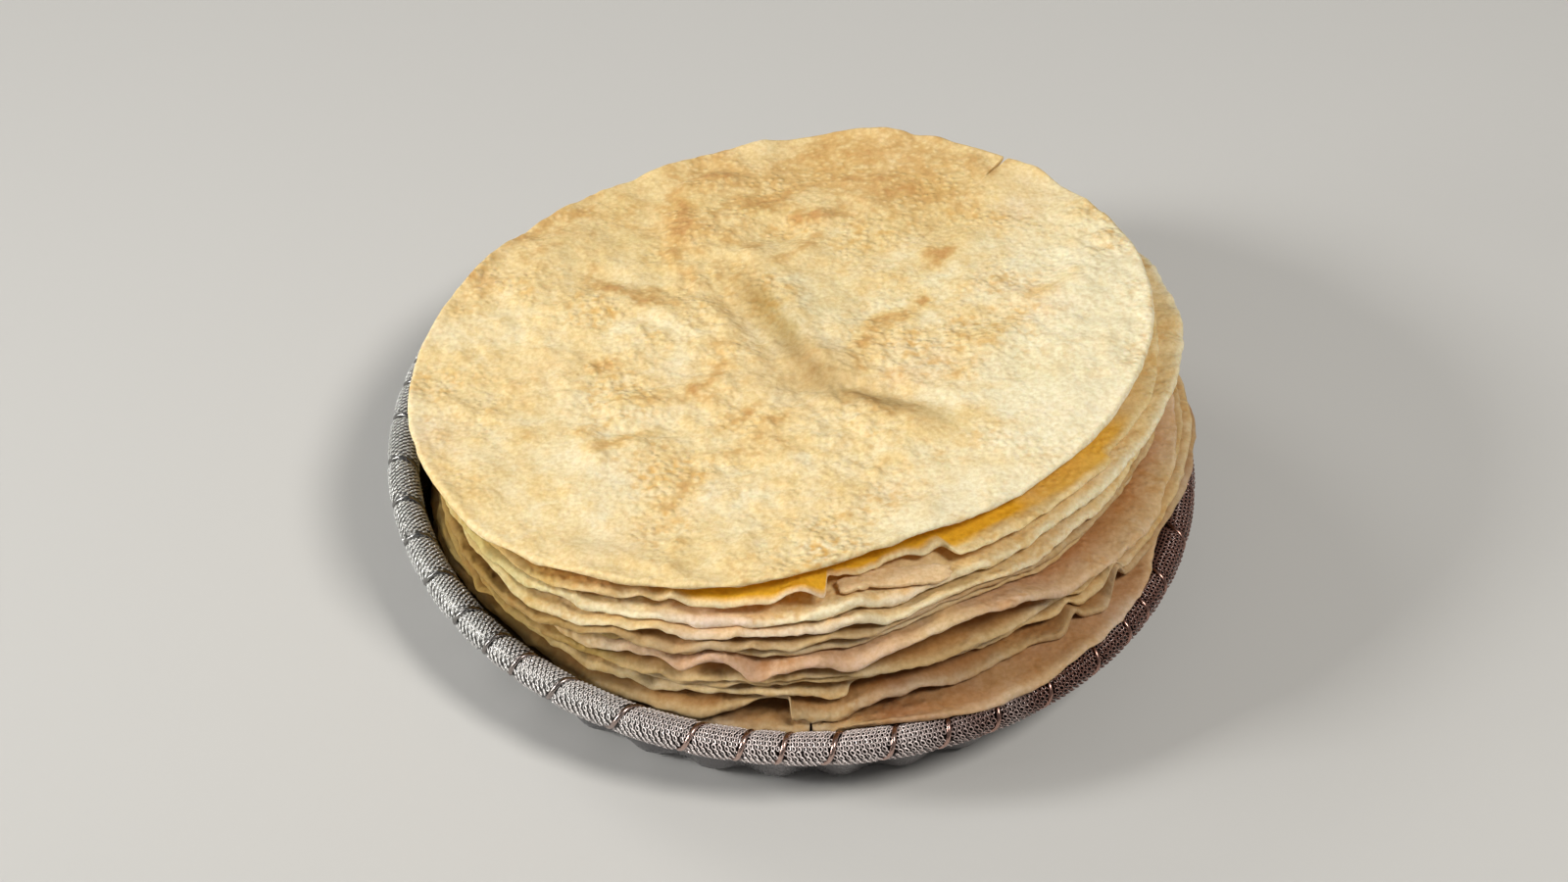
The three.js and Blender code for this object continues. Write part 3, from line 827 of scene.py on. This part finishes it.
# radius of the knitted sleeve: full between the turns, drawn in by a bell at each turn
def ropeRadius(gap):
    return rim["rope"] - rim["pinch"]*np.exp(-(gap/rim["pinchReach"])**2)


# dark core under the loops, its darkness painted shade in the gaps between them: the sleeve's radius less a
# small drop, carried round the rim
def ropeCore():
    steps, sides = 960, 14
    angle = np.repeat((np.arange(steps)*2*math.pi/steps)[:, None], sides, 1)
    around = np.repeat((np.arange(sides)*2*math.pi/sides)[None, :], steps, 0)
    points = rimPoint(angle, around, ropeRadius(wireGap(angle, around)) - rim["coreDrop"])
    faces = [gridFaces(steps, sides, True)[:, ::-1]]
    addPiece("rim_rope_core", points.reshape(-1, 3), faces, "core", ["rim_rope"])


# small wire rings on the sleeve, tilted like scales, in rows round the rope
knit = {
    # angles round the rope from and to, rows, step along the rim, ring radius, wire radius, tilt, slant,
    # corners of a ring
    "bands": [(-118, 40, 8, 1.6, 0.58, 0.195, 26, 24, 8), (40, 205, 10, 1.3, 0.48, 0.18, 26, 12, 6)],
    "parts": 4,
    "wireClear": 0.75,        # no ring nearer to the binding wire
    "oval": 1.25,             # a ring's length over its width
    # spread of the angle round the rope, of the place along it in steps, of tilt and of slant
    "jitter": (0.01, 0.04, 5, 4),
}


# outward direction of the rope at an angle round the rim and one round the rope
def ropeOut(angle, around):
    return np.stack([np.cos(around)*np.cos(angle), np.cos(around)*np.sin(angle), np.sin(around)], -1)


# ring points: centre + ring radius * (cos * long axis + sin * short axis) + wire radius round that line
def loopPoints(angle, around, lift, ring, thick, tilt, slant, corners, sides=3):
    out = ropeOut(angle, around)
    along = np.stack([-np.sin(angle), np.cos(angle), 0*angle], -1)
    across = np.cross(along, out)
    c, s = np.cos(slant)[:, None], np.sin(slant)[:, None]
    first = c*across + s*along
    second = c*along - s*across
    second = np.cos(tilt)[:, None]*second + np.sin(tilt)[:, None]*out
    third = np.cross(first, second)
    a = np.arange(corners)*2*math.pi/corners
    b = np.arange(sides)*2*math.pi/sides
    spoke = np.cos(a)[None, :, None]*first[:, None] + np.sin(a)[None, :, None]*second[:, None]
    oval = spoke + (knit["oval"] - 1)*np.cos(a)[None, :, None]*first[:, None]
    centre = rimPoint(angle, around, lift)
    points = (centre[:, None, None] + ring*oval[:, :, None]
              + thick*(np.cos(b)[None, None, :, None]*spoke[:, :, None]
                       + np.sin(b)[None, None, :, None]*third[:, None, None]))
    base = gridFaces(corners, sides, True)[:, ::-1]
    faces = base[None] + (np.arange(len(angle))*corners*sides)[:, None, None]
    return points.reshape(-1, 3), faces.reshape(-1, 4)


# rows of rings: angle = (place + half a step in every other row + a little seeded unevenness) * step, with
# none on the binding wire
def knittedSleeve():
    draw = np.random.default_rng(5)
    jitterAround, jitterAlong, jitterTilt, jitterSlant = knit["jitter"]
    allPoints = [[] for part in range(knit["parts"])]
    allFaces = [[] for part in range(knit["parts"])]
    starts = [0]*knit["parts"]
    for low, high, rows, step, ring, thick, tilt, slant, corners in knit["bands"]:
        count = int(2*math.pi*rim["radius"]/step)
        row = np.repeat(np.arange(rows), count)
        spot = np.tile(np.arange(count), rows)
        around = np.radians(low + (row + 0.5)*(high - low)/rows) + draw.normal(0, jitterAround, len(row))
        angle = (spot + 0.5*(row % 2) + draw.normal(0, jitterAlong, len(row)))*2*math.pi/count
        angle = np.mod(angle, 2*math.pi)
        gap = wireGap(angle, around)
        keep = gap > knit["wireClear"]
        around, angle, gap = around[keep], angle[keep], gap[keep]
        tilts = np.radians(tilt + draw.normal(0, jitterTilt, len(angle)))
        slants = np.radians(slant + draw.normal(0, jitterSlant, len(angle)))
        part = (angle/(2*math.pi)*knit["parts"]).astype(int)
        for p in range(knit["parts"]):
            own = part == p
            points, faces = loopPoints(angle[own], around[own], ropeRadius(gap[own]), ring, thick,
                                       tilts[own], slants[own], corners)
            allPoints[p].append(points)
            allFaces[p].append(faces + starts[p])
            starts[p] += len(points)
    for p in range(knit["parts"]):
        faces = [np.concatenate(allFaces[p])]
        addPiece("rim_knit_%d" % (p + 1), np.concatenate(allPoints[p]), faces, "knit")


# binding wire: an oval section carried along the coil, wide along the rim and thin outwards
def bindingWire():
    perTurn, sides = 26, 10
    steps = rim["turns"]*perTurn
    along = np.arange(steps)/perTurn
    turn = np.floor(along)
    around = 2*math.pi*(along - turn)
    angle = coilAngle(turn, around)
    centre = rimPoint(angle, around, rim["coil"])
    out = ropeOut(angle, around)
    ahead = np.roll(centre, -1, 0) - np.roll(centre, 1, 0)
    ahead /= np.linalg.norm(ahead, axis=1)[:, None]
    across = np.cross(ahead, out)
    across /= np.linalg.norm(across, axis=1)[:, None]
    b = np.arange(sides)*2*math.pi/sides
    points = (centre[:, None] + rim["wireThick"]*np.cos(b)[None, :, None]*out[:, None]
              + rim["wireWide"]*np.sin(b)[None, :, None]*across[:, None])
    faces = [gridFaces(steps, sides, True)]
    addPiece("rim_wire_turns", points.reshape(-1, 3), faces, "wire", ["rim_wire"])


ropeCore()
knittedSleeve()
bindingWire()
print("rim made")

bowl = {
    # profile from the middle of the foot, out and up, over the lip and back in: radius, height and share of
    # the flutes
    "profile": [(0, 0, 0), (60, 0, 0), (92, 0, 0), (95.4, 0.8, 1), (98, 4, 1), (101.3, 10.5, 1),
                (103.8, 15.5, 1), (106.2, 20.1, 0.5), (105.3, 20.6, 0.5), (104.4, 20.1, 0.5),
                (101.7, 15.5, 1), (99.2, 10.5, 1), (95.6, 5.2, 1), (92, 2.6, 0), (60, 2.6, 0),
                (0, 2.6, 0)],
    "flutes": 36,
    "depth": 1.1,
    "sectors": 432,
    "rows": 72,
}


# bowl wall: radius of the profile + depth * share * cos(flutes * angle), carried round
def flutedBowl():
    profile = np.array(bowl["profile"], float)
    length = np.concatenate([[0], np.cumsum(np.hypot(*np.diff(profile[:, :2], axis=0).T))])
    spots = np.union1d(np.linspace(0, length[-1], bowl["rows"]), length)[1:-1]
    radius, height, share = [np.interp(spots, length, profile[:, k]) for k in range(3)]
    angle = np.arange(bowl["sectors"])*2*math.pi/bowl["sectors"]
    wide = radius[:, None] + bowl["depth"]*share[:, None]*np.cos(bowl["flutes"]*angle)[None, :]
    poles = np.array([[0.0, 0.0, profile[0, 1]], [0.0, 0.0, profile[-1, 1]]])
    points, faces = ringSkin(wide*np.cos(angle), wide*np.sin(angle), height[:, None] + 0*wide, poles, True)
    addPiece("tray_bowl_fluted", points, faces, "bowl", ["tray_bowl"])


flutedBowl()
print("bowl made")


studio = {
    "floor": tint(204, 203, 200), "floorSize": 6.0, "floorDrop": 0.0002,
    "world": 0.16, "worldTint": (1.0, 0.985, 0.96, 1.0),
    "aim": (0.0, 0.0, 0.04),
    # name, place in metres, size, power, spread, colour
    "lamps": [("key", (0.79, -0.62, 1.61), 0.5, 19.8, 180, (1.0, 0.97, 0.92)),
              ("left", (-1.48, -0.42, 0.9), 0.4, 2.4, 70, (1.0, 0.99, 0.97)),
              ("low", (-1.35, -0.32, 0.3), 0.4, 0.9, 70, (1.0, 1.0, 0.97)),
              ("back", (-1.15, 0.8, 0.95), 0.6, 0.75, 70, (1.0, 0.98, 0.95))],
    # camera, in mm and degrees
    "target": (-2.5, 0.0, 27.2), "distance": 800.0, "elevation": 44.8, "roll": 3.0, "lens": 66.555,
    "sensor": 36.0, "clipStart": 0.01,
}


# pale floor, even light from all round, and round lamps aimed at the middle of the stack
def addStage():
    half, low = studio["floorSize"]/2, -studio["floorDrop"]
    mesh = bpy.data.meshes.new("floor")
    mesh.from_pydata([(-half, -half, low), (half, -half, low), (half, half, low), (-half, half, low)],
                     [], [(0, 1, 2, 3)])
    floor = bpy.data.objects.new("floor", mesh)
    scene.collection.objects.link(floor)
    look = Look("floor_look")
    look.set(Base_Color=studio["floor"], Roughness=0.85, Specular_IOR_Level=0.1)
    mesh.materials.append(look.material)
    world = bpy.data.worlds.new("studio")
    world.use_nodes = True
    background = world.node_tree.nodes["Background"]
    background.inputs["Color"].default_value = studio["worldTint"]
    background.inputs["Strength"].default_value = studio["world"]
    scene.world = world
    for name, place, size, power, spread, colour in studio["lamps"]:
        lamp = bpy.data.lights.new(name, "AREA")
        lamp.shape = "DISK"
        lamp.size = size
        lamp.energy = power
        lamp.color = colour
        lamp.spread = math.radians(spread)
        holder = bpy.data.objects.new(name, lamp)
        holder.location = place
        ray = Vector(studio["aim"]) - Vector(place)
        holder.rotation_euler = ray.to_track_quat("-Z", "Y").to_euler()
        scene.collection.objects.link(holder)


# camera: target + distance * (0, -cos, sin) of the elevation, then rolled about its own line of sight
def addCamera():
    tilt, roll = math.radians(studio["elevation"]), math.radians(studio["roll"])
    back = Vector((0, -math.cos(tilt), math.sin(tilt)))
    level = Vector((1, 0, 0))
    up = back.cross(level)
    right = math.cos(roll)*level + math.sin(roll)*up
    up = math.cos(roll)*up - math.sin(roll)*level
    place = (Vector(studio["target"]) + studio["distance"]*back)*mm
    camera = bpy.data.cameras.new("camera")
    camera.sensor_width = studio["sensor"]
    camera.lens = studio["lens"]
    camera.clip_start = studio["clipStart"]
    holder = bpy.data.objects.new("camera", camera)
    holder.matrix_world = Matrix.Translation(place) @ Matrix((right, up, back)).transposed().to_4x4()
    scene.collection.objects.link(holder)
    scene.camera = holder


addStage()
addCamera()
print("studio ready")
